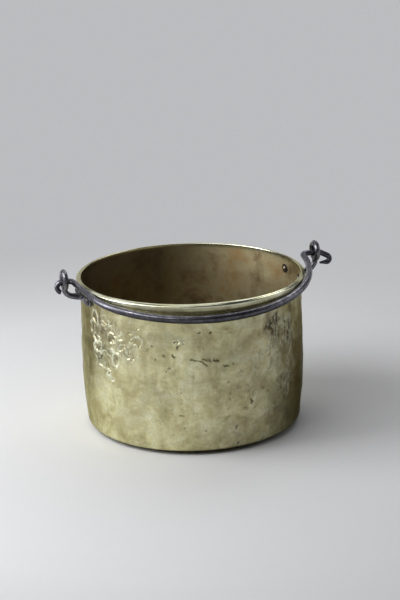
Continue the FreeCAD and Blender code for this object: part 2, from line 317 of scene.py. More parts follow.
# Scratches that hold old polish: azimuth and height of both ends
scratches = [
    (-107.4, 159, -103.2, 157), (-103.6, 157, -100.4, 155), (-100.8, 155, -99.6, 147),
    (-101.8, 161, -98.6, 162), (-98.8, 162, -96.8, 157), (-96.6, 160, -92.8, 155),
    (-92.4, 147, -88.8, 149), (-86.8, 151, -86.4, 145), (-113.9, 182, -112.6, 177),
    (-115.2, 166, -115.8, 160), (-117.2, 150, -117.6, 146), (-119.4, 136, -118.4, 137),
    (-76.8, 80, -75.6, 86), (-84.6, 46, -84.2, 34), (-85.3, 16, -84.0, 12),
]

# Pits that hold old polish: azimuth and height
pits = [
    (-112.3, 106), (-112.5, 91), (-112.0, 70), (-111.4, 44), (-97.9, 55), (-101.0, 42),
    (-78.6, 74), (-100.4, 178), (-94.0, 183), (-126.2, 179), (-124.8, 158), (-120.7, 164),
    (-117.9, 145), (-136.9, 155), (-103.4, 205), (-88.0, 120), (-96.8, 200),
]

# Shapes of the marks. A pair of values is the range of a random draw.
dent_seed = 41
patch_spread = 0.5
patch_stretch = (0.7, 1.4)
patch_lip = 0.3
broad_dents = 150
broad_sizes = (12.0, 34.0)
broad_stretch = (0.6, 1.6)
broad_depths = (0.1, 0.42)
broad_heights = (10, 225)
bowl_power = 1.3
lip_run = 1.7
crinkle_widths = (0.9, 1.7)
scratch_widths = (1.5, 2.4)
crease_depth = 0.3
line_end_power = 4
pit_sizes = (0.8, 1.6)
pit_depth = 0.3
placed_pit_scale = 1.2
scattered_pits = 110
scattered_scales = (0.5, 1.0)
scattered_heights = (14, 230)
patch_reach = 1.5
mark_margin = 6.0
deepest_dent = 2.3
inside_share = 0.35

# Slow waves, as size and reach: of the marks' outlines, the wall and the wear with its painted sheen
drift_waves = 14
drift_sizes = (0.7, 1.5)
outline_drifts = ((18, 1.8), (6, 0.6))
wall_drifts = ((45, 0.28), (19, 0.15))
wear_and_sheen_drift = (14, 0.3)

# Where the marks fade out: beside the lugs' straps, under the rim and at the foot
seat_run = 14.0
rim_gap = 6.0
rim_run = 16.0
rim_least = 0.15
foot_run = 10.0
foot_least = 0.2

# Uneven rim: swell of the roll, ripples along it and lift of its edge, as a reach and counts of waves
swell_waves = (0.22, (5, 9, 14, 23))
rim_ripple_reach = 0.1
rim_ripple_count = 5
rim_ripple_waves = (1.2, (3, 7, 11))
lift_waves = (0.3, (2, 3, 5, 8))
most_roll_push = 0.25

# Wear with its painted sheen, darkening of creases, grime of scratches and pits, painted shade under the
# roll, on the underside and at the foot, and tarnish, as shares
lip_wear_and_sheen = 1.5
ridge_wear_and_sheen = 1.7
ridge_spared = 0.4
even_wear_and_sheen = 0.75
crease_darkening = 1.4
scratch_grime = 0.95
placed_pit_grime = 0.9
scattered_grimes = (0.1, 0.5)
under_roll_shade = 0.8
underside_shade = 0.7
foot_shade = 0.85
rim_tarnish = 0.6

# Fades of the finishes and of the painted shade in height: where each starts and its run, which is below
# nought to go down
patina_fade = (pot_height - 3.0, -6.0)
polish_fade = (roll_bottom + 1.0, 6.0)
lip_polish_fade = (roll_top, 3.0)
tuck_fade = (roll_bottom - 8.0, 6.0)
under_roll_fade = (roll_bottom - 1.0, -3.0)
foot_fade = (4.5, -3.0)

# Painted shade: inside it is darkest towards one azimuth, where the inner wall stands in shadow, and on
# the wall it is a dark patch on the right side, like those of tarnish
shade_azimuth = 165.0
shade_most = 0.84
shade_middle = 0.5
shade_gain = 1.7
right_shade_patch = (-26, 58, 105, 120, 0.8)


def arc_gap(azimuth, other):
    """Distance round the wall from one azimuth to another, in mm."""
    return np.radians((azimuth - other + 180) % 360 - 180) * belly_radius


def patch(across, up, wide, tall):
    """One in the middle of a soft oval, and nought well outside it."""
    return np.exp(-np.hypot(across / wide, up / tall) ** 3)


def fade(value, start, run):
    """Nought up to a start, then rising to one over a run. A run below nought goes downwards."""
    return np.clip((value - start) / run, 0, 1)


def patch_places(rng, azimuth, height, across, tall, count):
    """Random places in a patch, denser towards its middle."""
    places = []
    for _ in range(count):
        place = azimuth + across * rng.normal(0, patch_spread)
        places.append((place, height + tall * rng.normal(0, patch_spread)))
    return places


def dents(rng):
    """Every dent of the wall: those listed, the dented patches and broad shallow ones."""
    made = list(placed_dents)
    for *area, sizes, stretch, depths in dented_patches:
        for place, level in patch_places(rng, *area):
            size = rng.uniform(*sizes)
            depth = rng.uniform(*depths)
            half_height = size * stretch * rng.uniform(*patch_stretch)
            made.append((place, level, size, half_height, depth, patch_lip * depth))
    for _ in range(broad_dents):
        size = rng.uniform(*broad_sizes)
        place = rng.uniform(-180, 180)
        level = rng.uniform(*broad_heights)
        half_height = size * rng.uniform(*broad_stretch)
        made.append((place, level, size, half_height, rng.uniform(*broad_depths), 0))
    return made


def lines(rng):
    """Every ridge, crinkle and scratch: azimuth and height of both ends, half width, rise and darkening.
    """
    made = [(*ridge, 0) for ridge in ridges]
    for *area, lengths, lean, most in crinkled_patches:
        for place, level in patch_places(rng, *area):
            half = rng.uniform(*lengths) / 2
            turn = math.radians(rng.uniform(-lean, lean))
            side = math.degrees(half * math.sin(turn) / belly_radius)
            up = half * math.cos(turn)
            rise = rng.uniform(-most, most)
            wide = rng.uniform(*crinkle_widths)
            # Inward creases are drawn darker
            dark = min(1, max(0, -crease_darkening * rise))
            made.append((place - side, level - up, place + side, level + up, wide, rise, dark))
    for scratch in scratches:
        made.append((*scratch, rng.uniform(*scratch_widths), -crease_depth, scratch_grime))
    return made


def spots(rng):
    """Every pit: azimuth, height, scale and grime."""
    made = [(place, level, placed_pit_scale, placed_pit_grime) for place, level in pits]
    for _ in range(scattered_pits):
        place = rng.uniform(-180, 180)
        level = rng.uniform(*scattered_heights)
        scale = rng.uniform(*scattered_scales)
        made.append((place, level, scale, rng.uniform(*scattered_grimes)))
    return made


def drift(points, rng, *kinds):
    """Smooth random values at points: for each kind, waves of about a size and a reach."""
    total = np.zeros(points.shape[:-1])
    for size, reach in kinds:
        waves = np.zeros_like(total)
        for _ in range(drift_waves):
            way = rng.normal(size=3)
            way *= math.tau / (size * rng.uniform(*drift_sizes) * np.linalg.norm(way))
            waves += np.sin(points @ way + rng.uniform(0, math.tau))
        total += waves * reach * math.sqrt(2 / drift_waves)
    return total


def wall_field(azimuth, height):
    """Offset of the wall in mm, outward positive, its grime with darkened creases, its worn places with
    painted sheen and its tarnish with painted shade.

    azimuth is a row of columns and height a column of rows. Every mark is drawn on drifting
    coordinates, so that no outline is a true ellipse or a straight line.
    """
    rng = np.random.default_rng(dent_seed)
    turn = np.radians(azimuth)
    points = np.stack(np.broadcast_arrays(
        belly_radius * np.cos(turn), belly_radius * np.sin(turn), height), -1)
    drift_across = drift(points, rng, *outline_drifts)
    drift_up = drift(points, rng, *outline_drifts)
    offset = drift(points, rng, *wall_drifts)
    grime_and_shade, worn_and_sheen, tarnish_and_shade = np.zeros((3, *offset.shape))

    def around(place, level, wide, tall):
        """Part of the grid near a place, with the drifting distances from it."""
        rows = np.flatnonzero(np.abs(height[:, 0] - level) < tall + mark_margin)
        near = np.flatnonzero(np.abs(arc_gap(azimuth[0], place)) < wide + mark_margin)
        part = np.ix_(rows, near)
        across = arc_gap(azimuth[:, near], place) + drift_across[part]
        return part, across, height[rows] - level + drift_up[part]

    def lay(layer, part, values):
        layer[part] = np.maximum(layer[part], values)

    for place, level, wide, tall, depth, lip in dents(rng):
        part, across, up = around(place, level, wide, tall)
        far = np.hypot(across / wide, up / tall)
        bowl = np.clip(1 - far ** 2, 0, None) ** bowl_power
        edge = np.exp(-((far - 1) * min(wide, tall) / lip_run) ** 2)
        offset[part] += lip * edge - depth * bowl
        # Dent lips are drawn pale: wear and a painted highlight
        lay(worn_and_sheen, part, min(1, lip_wear_and_sheen * lip) * edge)
        lay(tarnish_and_shade, part, min(1, lip) * bowl)
    for start, low, end, high, wide, rise, dark in lines(rng):
        run = float(arc_gap(end, start))
        climb_up = high - low
        length = math.hypot(run, climb_up)
        middle = start + math.degrees(run / 2 / belly_radius)
        part, across, up = around(middle, (low + high) / 2, abs(run) / 2, abs(climb_up) / 2)
        share = (across * run + up * climb_up) / length ** 2
        far = (up * run - across * climb_up) / length
        fold = np.exp(-(far / wide) ** 2) * np.clip(1 - (2 * share) ** line_end_power, 0, 1)
        offset[part] += rise * fold
        lay(grime_and_shade, part, dark * fold)
        # Raised ridges are drawn pale: wear and a painted highlight
        lay(worn_and_sheen, part, np.clip(ridge_wear_and_sheen * rise - ridge_spared, 0, 1) * fold)
    # Patches of tarnish, and broad patches on the right that paint shade
    for place, level, wide, tall, strength in tarnish_and_shade_patches:
        part, across, up = around(place, level, patch_reach * wide, patch_reach * tall)
        lay(tarnish_and_shade, part, strength * patch(across, up, wide, tall))
    for place, level, scale, dark in spots(rng):
        wide = scale * rng.uniform(*pit_sizes)
        tall = scale * rng.uniform(*pit_sizes)
        part, across, up = around(place, level, wide, tall)
        spot = patch(across, up, wide, tall)
        offset[part] -= pit_depth * spot
        lay(grime_and_shade, part, dark * spot)
    worn_and_sheen *= np.clip(even_wear_and_sheen + drift(points, rng, wear_and_sheen_drift), 0, 1)
    return np.maximum(offset, -deepest_dent), grime_and_shade, worn_and_sheen, tarnish_and_shade


def seat_mask(azimuth, height):
    """Share of the wall's offset that is left: none under the lugs' straps, little at the rim and foot."""
    strap_low, strap_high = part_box("lug_right")
    half_strap = math.asin(strap_high.y / MM / belly_radius) * belly_radius
    from_strap = np.minimum(np.abs(arc_gap(azimuth, 0)), np.abs(arc_gap(azimuth, 180)))
    beside = (from_strap - half_strap) / seat_run
    below = (strap_low.z / MM - height) / seat_run
    free = np.clip(np.maximum(beside, below), 0, 1)
    rim = np.clip((roll_bottom - rim_gap - height) / rim_run, rim_least, 1)
    foot = np.clip((height - foot_height) / foot_run, foot_least, 1)
    return free * rim * foot


def ring_waves(turn, rng, reach, counts):
    """Mean of a few sines round the pot, each with its count of waves, within a reach."""
    total = sum(np.sin(count * turn + rng.uniform(0, math.tau)) for count in counts)
    return reach * (total / len(counts))


def smooth(mesh):
    """Shades a new mesh smooth."""
    mesh.polygons.foreach_set("use_smooth", [True] * len(mesh.polygons))
    mesh.update()


def grid_mesh(name, rings):
    """Mesh from rings of points, an array of ring, column and coordinate, with closed ends."""
    count, around, _ = rings.shape
    numbers = np.arange(count * around).reshape(count, around)
    across = np.roll(numbers, -1, axis=1)
    quads = np.stack([numbers[:-1], across[:-1], across[1:], numbers[1:]], axis=-1).reshape(-1, 4)
    points = np.vstack([rings.reshape(-1, 3), rings[0].mean(0), rings[-1].mean(0)])
    faces = quads.tolist()
    first = len(points) - 2
    last = len(points) - 1
    for column in range(around):
        after = (column + 1) % around
        faces.append((first, after, column))
        faces.append((last, int(numbers[-1, column]), int(numbers[-1, after])))
    mesh = bpy.data.meshes.new(name)
    mesh.from_pydata((points * MM).tolist(), [], faces)
    smooth(mesh)
    return mesh


def new_object(name, data):
    """Object in the scene."""
    made = bpy.data.objects.new(name, data)
    bpy.context.scene.collection.objects.link(made)
    return made


def dress(mesh, material):
    """Gives a mesh its one material."""
    mesh.materials.clear()
    mesh.materials.append(material)


def shown(name, mesh, material, body, slot, *nodes):
    """Adds a piece that rides on a body and stands for CAD nodes."""
    piece = new_object(name, mesh)
    dress(mesh, material)
    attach(piece, body)
    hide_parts(*nodes)


def point_values(mesh, name, values):
    """Stores a value for each point of a mesh, for its material."""
    layer = mesh.attributes.new(name, "FLOAT", "POINT")
    layer.data.foreach_set("value", np.asarray(values, np.float32))


def brass_finishes_and_shade(azimuth, height, zones, grime_and_shade, worn_and_sheen, tarnish_and_shade):
    """Shares of each finish and of the painted shade over the brass, by name, from its zones and the marks
    of the wall.
    """
    wall = zones == WALL
    rolled = zones == ROLL
    within = zones == INSIDE
    lip_polish = within * fade(height, *lip_polish_fade)
    polish = rolled * fade(height, *polish_fade)
    under_roll = rolled * fade(height, *under_roll_fade)
    # Painted shade: the wall under the roll, the roll's underside, the pot's underside and its foot are
    # drawn darker
    tuck = wall * fade(height, *tuck_fade)
    foot = wall * np.minimum(fade(height, *foot_fade), foot_shade)
    dirt_and_shade = np.maximum(grime_and_shade * wall, under_roll_shade * np.maximum(tuck, under_roll))
    dirt_and_shade = np.maximum(dirt_and_shade, np.maximum(underside_shade * (zones == UNDER), foot))
    # Painted shade: the inside is darkened towards one side, and the right of the wall by a patch
    from_shade = np.radians(azimuth) - math.radians(shade_azimuth)
    painted_shade = shade_most * np.clip(shade_middle + shade_gain * np.cos(from_shade), 0, 1)
    place, level, wide, tall, most = right_shade_patch
    right_shade = most * patch(arc_gap(azimuth, place), height - level, wide, tall)
    return {
        "patina": within * fade(height, *patina_fade),
        "polish": np.maximum(polish, lip_polish),
        "grime_and_shade": dirt_and_shade,
        "worn_and_sheen": worn_and_sheen * wall,
        "tarnish_and_shade": np.maximum(tarnish_and_shade * wall, rim_tarnish * rolled),
        "painted_shade": np.where(within, painted_shade, right_shade * wall),
    }


def brass_mesh():
    """The raised sheet as a turned grid, with its dents and wavy rim, and its finishes and painted light
    as point values.
    """
    outline, zones = section()
    outline = outline[1:-1]
    zones = zones[1:-1, None]
    front, back = fine_front
    azimuth = np.append(np.arange(front, back, fine_turn), np.arange(back, front + 360, coarse_turn))
    turn = np.radians(azimuth)
    radius = outline[:, :1]
    height = outline[:, 1:]
    along = np.gradient(outline, axis=0)
    along /= np.linalg.norm(along, axis=1)[:, None]
    normal_r = along[:, 1:]
    normal_z = -along[:, :1]

    inside_wall = (zones == INSIDE) & (radius > corner_r)
    offset, grime_and_shade, worn_and_sheen, tarnish_and_shade = wall_field(azimuth[None, :], height)
    offset = offset * seat_mask(azimuth[None, :], height) * ((zones == WALL) + inside_share * inside_wall)
    wall_push = np.where(inside_wall, -normal_r, normal_r) * offset

    rng = np.random.default_rng(dent_seed + 1)
    swell = ring_waves(turn, rng, *swell_waves)
    ripple_turn = rim_ripple_count * np.arctan2(height - roll_top, radius - roll_middle)
    ripple = rim_ripple_reach * np.sin(ripple_turn + ring_waves(turn, rng, *rim_ripple_waves))
    lift = ring_waves(turn, rng, *lift_waves)
    roll_push = (zones == ROLL) * np.minimum(swell + ripple, most_roll_push)
    lifted = fade(height, neck_bottom, neck_drop) ** 2 * lift * (zones != WALL)

    rings_r = radius + wall_push + normal_r * roll_push
    rings_z = height + normal_z * roll_push + lifted
    rings = np.stack([rings_r * np.cos(turn), rings_r * np.sin(turn), rings_z], -1)
    mesh = grid_mesh("brass_pot", rings)
    for name, values in brass_finishes_and_shade(azimuth, height, zones, grime_and_shade, worn_and_sheen, tarnish_and_shade).items():
        whole = np.broadcast_to(values, rings.shape[:2]).ravel()
        point_values(mesh, name, np.append(whole, [whole[0], whole[-1]]))
    return mesh


def bend(place, turn, radius, sweep, first, last):
    """Bend in the plane of a bail's end, tapering from one rod radius to another."""
    share = np.linspace(0, 1, round(sweep / bend_step) + 1)[1:]
    start = math.radians(turn)
    turns = np.radians(turn + sweep * share)
    centre = np.array(place) + radius * np.array([-math.sin(start), math.cos(start)])
    points = centre + radius * np.column_stack([np.sin(turns), -np.cos(turns)])
    return points, first + (last - first) * share


def run(place, turn, length, first, last):
    """Straight in the plane of a bail's end, tapering from one rod radius to another."""
    share = np.linspace(0, 1, round(length / bail_step) + 2)[1:]
    aim = toward(math.radians(turn))
    return np.array(place) + np.outer(share * length, aim), first + (last - first) * share


def rounded_end(place, turn, radius, edge):
    """Rings that round off the end of the rod over an edge radius."""
    turns = np.radians(end_turns)
    aim = toward(math.radians(turn))
    return np.array(place) + np.outer(edge * np.sin(turns), aim), radius - edge * (1 - np.cos(turns))


def left_hook(eye_x):
    """Open hook whose blunt end stops just outside the eye. Gives where it starts and its stretches."""
    tip = left_hook_tip / 2
    sweep = math.radians(left_hook_sweep)
    start = eye_x + eye_bar / 2 + hook_gap - (left_hook_radius - tip) * math.sin(sweep)
    short = left_hook_sweep - math.degrees(left_tip_edge / left_hook_radius)
    hook = bend((start, 0), 0, left_hook_radius, short, rod_radius, tip)
    return start, [hook, rounded_end(hook[0][-1], left_hook_sweep, tip, left_tip_edge)]


def right_hook(eye_x):
    """Hook with a dipping arm and a drawn out point. Gives where it starts and its stretches."""
    neck = right_hook_neck / 2
    tip = right_hook_tip / 2
    start = eye_x + eye_bar / 2
    dip = bend((start, 0), 0, right_dip_radius, right_dip, rod_radius, rod_radius)
    reach = run(dip[0][-1], right_dip, right_hook_arm, rod_radius, rod_radius)
    back = bend(reach[0][-1], right_dip, right_hook_radius, 180 - right_dip, rod_radius, neck)
    length = back[0][-1][0] - start - hook_gap - tip
    point = run(back[0][-1], 180, length, neck, tip)
    return start, [dip, reach, back, point, rounded_end(point[0][-1], 180, tip, tip)]


bail_radius = rim_radius + bail_clearance + grip_diameter / 2
right_lean = math.degrees(math.asin(shoulder_radius / (bail_radius + shoulder_radius)))
left_turn = left_leg_lean + left_bend_sweep


def level_round(angles):
    """Points of a level unit circle, at angles from +X towards -Y."""
    turns = np.radians(angles)
    return np.column_stack([np.cos(turns), -np.sin(turns), 0 * turns])


def grip_radius(turn):
    """Radius of the rod on the half round, at an angle from the pivot."""
    return rod_radius + np.sin(np.radians(turn)) * (grip_diameter - rod_diameter) / 2


def left_leg():
    """Bend from the half round and the straight leg, on the right, with the rod's radii."""
    turn = math.radians(left_turn)
    lean = math.radians(left_leg_lean)
    centre = (bail_radius - left_bend_radius) * np.array([math.cos(turn), -math.sin(turn), 0])
    count = round(left_bend_sweep * math.radians(1) * left_bend_radius / bail_step)
    angles = np.linspace(left_turn, left_leg_lean, count + 1)[1:]
    bent = centre + left_bend_radius * level_round(angles)
    taper = np.linspace(grip_radius(left_turn), rod_radius, len(bent))
    way = np.array([math.sin(lean), math.cos(lean), 0])
    length = (shoulder_radius * (way[0] - 1) - bent[-1][1]) / way[1]
    share = np.linspace(0, 1, round(length / bail_step) + 1)[1:]
    leg = bent[-1] + np.outer(share * length, way)
    return np.vstack([bent, leg]), np.concatenate([taper, np.full(len(leg), rod_radius)])


def end_path(inner_x, lean, eye_x, hook):
    """Middle line and radius of one end of the bail, from its shoulder to the tip, on the right."""
    shoulder_x = inner_x + shoulder_radius * math.cos(math.radians(lean))
    turns = np.radians(np.linspace(90 - lean, 0, shoulder_rings)[1:])
    shoulder = np.column_stack([shoulder_x - shoulder_radius * np.sin(turns),
                                shoulder_radius * (np.cos(turns) - 1), 0 * turns])
    hook_start, stretches = hook(eye_x)
    stretches = [run((shoulder_x, 0), 0, hook_start - shoulder_x, rod_radius, rod_radius)] + stretches
    flat = np.vstack([points for points, _ in stretches])
    turn = math.radians(hook_turn)
    hooked = np.column_stack([flat[:, 0], -math.cos(turn) * flat[:, 1], -math.sin(turn) * flat[:, 1]])
    radii = [np.full(len(turns), rod_radius)] + [radii for _, radii in stretches]
    return np.vstack([shoulder, hooked]), np.concatenate(radii)


def bail_line():
    """Middle line and radius of the whole bail, from its left tip to its right tip."""
    left_eye = -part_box("lug_left")[0].x / MM - eye_bar / 2
    right_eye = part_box("lug_right")[1].x / MM - eye_bar / 2
    grip_end_x = bail_radius * math.cos(math.radians(right_lean))
    right, right_radii = end_path(grip_end_x, right_lean, right_eye + bail_shift, right_hook)
    leg, leg_radii = left_leg()
    left, left_radii = end_path(leg[-1][0], left_leg_lean, left_eye - bail_shift, left_hook)
    left = np.vstack([leg, left]) * np.array([-1, 1, 1])
    left_radii = np.concatenate([leg_radii, left_radii])
    turns = np.linspace(180 - left_turn, right_lean, round(math.pi * bail_radius / bail_step))
    grip = bail_radius * level_round(turns)
    points = np.vstack([left[::-1], grip, right])
    radii = np.concatenate([left_radii[::-1], grip_radius(turns), right_radii])
    joint = frame["joints"][0]
    droop = Matrix.Rotation(math.radians(bail_droop), 3, "X")
    lean = Vector((1, 0, 0)).rotation_difference(-Vector(joint["axis"])).to_matrix()
    shift = Vector((bail_shift, 0, 0))
    pivot = Vector(joint["pos_m"]) / MM
    return np.array([lean @ (droop @ Vector(point) - shift) + pivot for point in points]), radii


def tube(name, points, radii, sides, shape):
    """Closed tube along a line. shape gives each ring's radius factors round the tube."""
    tangents = np.gradient(points, axis=0)
    tangents /= np.linalg.norm(tangents, axis=1)[:, None]
    side = np.cross(tangents[0], [0, 0, 1.0])
    side /= np.linalg.norm(side)
    round_turn = np.arange(sides) / sides * math.tau
    rings, underside_shares = [], []
    for number, (point, radius, tangent) in enumerate(zip(points, radii, tangents)):
        side = side - tangent * np.dot(side, tangent)
        side /= np.linalg.norm(side)
        up = np.cross(side, tangent)
        scale = radius * shape(number, round_turn)
        outward = np.outer(np.cos(round_turn), side) + np.outer(np.sin(round_turn), up)
        rings.append(point + scale[:, None] * outward)
        # Share of facing down, for the painted shade on the rod's underside
        underside_shares.append(0.5 - 0.5 * outward[:, 2])
    mesh = grid_mesh(name, np.array(rings))
    point_values(mesh, "under", np.append(np.ravel(underside_shares), [0.5, 0.5]))
    return mesh


def bail_mesh():
    """Forged rod: round, with the soft flats and ripples that the hammer leaves."""
    points, radii = bail_line()
    along = np.concatenate([[0], np.cumsum(np.linalg.norm(np.diff(points, axis=0), axis=1))])
    middle = along[-1] / 2
    calm = fade(np.abs(along - middle), hooks_from * middle, hooks_run * middle)

    def shape(number, turn):
        place = along[number]
        sway = flat_sway * math.sin(place / flat_sway_run)
        shake = flat_shake * math.sin(place / flat_shake_run)
        flats = flat_depth * np.cos(flat_count * turn + sway + shake)
        ripple = ripple_depth * math.sin(place / ripple_run) * math.sin(place / ripple_swell_run)
        oval = oval_depth * np.sin(2 * turn + place / oval_run)
        return 1 - hammer_loss + (flats + (ripple + oval)) * (1 - calm[number] * hooks_calm)

    return tube("iron_bail", points, radii, bail_sides, shape)


# Forged copies: size of the new mesh's cells, reach and size of the hammer marks
lug_forging = (0.7, 0.25, 7.0)
rivet_forging = (0.4, 0.3, 4.0)
rivet_seed = 5
soften_factor = 0.5
soften_rounds = 4
hammer_shift = (7.3, 3.1, 5.7)
hammer_fade = 0.9
hammer_step = 2.0
hammer_layers = 3


def forged_copy(node, name, cell, rough, grain, seed):
    """Copy of a CAD node's surface, remeshed fine, softened and hammered a little."""
    holder = new_object(name + "_source", frame["nodes"][node].data)
    remesh = holder.modifiers.new("fine", "REMESH")
    remesh.mode = "VOXEL"
    remesh.voxel_size = cell * MM
    soften = holder.modifiers.new("soften", "SMOOTH")
    soften.factor = soften_factor
    soften.iterations = soften_rounds
    graph = bpy.context.evaluated_depsgraph_get()
    mesh = bpy.data.meshes.new_from_object(holder.evaluated_get(graph))
    mesh.name = name
    bpy.data.objects.remove(holder)
    mesh.update()
    shift = Vector([seed * step for step in hammer_shift])
    moves = []
    for vertex in mesh.vertices:
        value = noise.fractal(vertex.co / (grain * MM) + shift, hammer_fade, hammer_step, hammer_layers)
        moves.append(vertex.co + vertex.normal * value * rough * MM)
    for vertex, place in zip(mesh.vertices, moves):
        vertex.co = place
    smooth(mesh)
    return mesh


# Materials: tones are ramps of positions and colours
wall_tones = (
    (0.38, (0.48, 0.43, 0.225)), (0.47, (0.63, 0.585, 0.32)),
    (0.54, (0.74, 0.705, 0.41)), (0.63, (0.83, 0.81, 0.54)),
)
rim_tones = ((0.38, (0.66, 0.655, 0.44)), (0.6, (0.86, 0.865, 0.69)))
inside_tones = (
    (0.36, (0.33, 0.245, 0.13)), (0.46, (0.54, 0.445, 0.26)),
    (0.53, (0.63, 0.555, 0.34)), (0.66, (0.57, 0.40, 0.195)),
)
edge_tint = (0.46, 0.435, 0.34, 1)
blotch_colour = (0.50, 0.455, 0.26)
green_colour = (0.66, 0.68, 0.45)
streak_colour = (0.47, 0.42, 0.24)
speck_colour = (0.36, 0.315, 0.165)
fleck_colour = (0.88, 0.865, 0.62)
# Tarnish colours, also used for the painted shade on the right side of the wall
green_tarnish_and_shade = (0.155, 0.158, 0.098)
brown_tarnish_and_shade = (0.18, 0.142, 0.082)
streaked_tarnish_and_shade = (0.13, 0.10, 0.055)
# Pale colour of worn lips and ridges: wear and a painted highlight that shows under any light
worn_and_sheen_colour = (0.78, 0.80, 0.62)
# Colour of the painted shade inside and on the right of the wall
painted_shade_colour = (0.082, 0.067, 0.046)
# Colour of grime in pits and scratches, and of the painted shade under the roll, underneath and at the
# foot
grime_and_shade_colour = (0.09, 0.074, 0.04)
rust_colour = (0.11, 0.062, 0.034)
# Dark colour of the bail's underside: painted shade
painted_underside_shade = (0.032, 0.03, 0.03)
brass_on_rivet = (0.31, 0.26, 0.175)
cloud_roughness = (0.40, 0.26)
finish_roughness = {"worn_and_sheen": 0.5, "polish": 0.2, "patina": 0.55, "grime_and_shade": 0.62}
worn_and_sheen_metal = 0.4


def new_material(name, metal=1.0):
    """Material, wholly metal or less. Gives the material, its node tree and the shader."""
    material = bpy.data.materials.new(name)
    material.use_nodes = True
    tree = material.node_tree
    shader = tree.nodes["Principled BSDF"]
    shader.inputs["Metallic"].default_value = metal
    return material, tree, shader


def feed(tree, socket, value):
    """Links a socket to another one, or gives it a plain value."""
    if isinstance(value, bpy.types.NodeSocket):
        tree.links.new(value, socket)
    else:
        socket.default_value = value


def new_node(tree, kind, **values):
    """Node of a kind, with what feeds its inputs. An underscore stands for a space."""
    made = tree.nodes.new("ShaderNode" + kind)
    for name, value in values.items():
        feed(tree, made.inputs[name.replace("_", " ")], value)
    return made


def noise_value(tree, scale, detail, stretch=(1, 1, 1), distortion=0.0, roughness=0.55):
    """Noise in the object's own frame, scale in features per metre."""
    place = new_node(tree, "TexCoord")
    mapping = new_node(tree, "Mapping", Vector=place.outputs["Object"], Scale=stretch)
    texture = new_node(tree, "TexNoise", Vector=mapping.outputs["Vector"], Scale=scale, Detail=detail,
                       Roughness=roughness, Distortion=distortion)
    return texture.outputs["Fac"]


def ramp(tree, value, *stops):
    """Colour ramp over a value. Each stop is a position and a colour."""
    made = new_node(tree, "ValToRGB", Fac=value)
    elements = made.color_ramp.elements
    while len(elements) < len(stops):
        elements.new(0.5)
    for element, (position, colour) in zip(elements, stops):
        element.position = position
        element.color = (*colour, 1)
    return made.outputs["Color"]


def spread(tree, value, low, high, out_low, out_high):
    """Maps a value from one range to another, within the ends."""
    made = new_node(tree, "MapRange", Value=value, From_Min=low, From_Max=high,
                    To_Min=out_low, To_Max=out_high)
    return made.outputs["Result"]


def blend(tree, share, first, second, kind="RGBA"):
    """Mix of two colours or two numbers. Each may be a socket or a plain value."""
    made = new_node(tree, "Mix")
    made.data_type = kind
    a, b, mixed = (6, 7, 2) if kind == "RGBA" else (2, 3, 0)
    for number, value in ((0, share), (a, first), (b, second)):
        feed(tree, made.inputs[number], (*value, 1) if isinstance(value, tuple) else value)
    return made.outputs[mixed]


def over(tree, value, start, full, share, below, colour):
    """Lays a colour over another as a value goes from a start to full, up to a share."""
    return blend(tree, spread(tree, value, start, full, 0.0, share), below, colour)


def combine(tree, operation, first, second):
    """Math node on two sockets."""
    made = new_node(tree, "Math")
    made.operation = operation
    tree.links.new(first, made.inputs[0])
    tree.links.new(second, made.inputs[1])
    return made.outputs[0]


def attribute(tree, name):
    """Value that a mesh stores for its points."""
    made = new_node(tree, "Attribute")
    made.attribute_name = name
    return made.outputs["Fac"]


def bump(tree, shader, height, strength, distance):
    """Fine grain in a shader's normal."""
    made = new_node(tree, "Bump", Strength=strength, Distance=distance, Height=height)
    tree.links.new(made.outputs["Normal"], shader.inputs["Normal"])


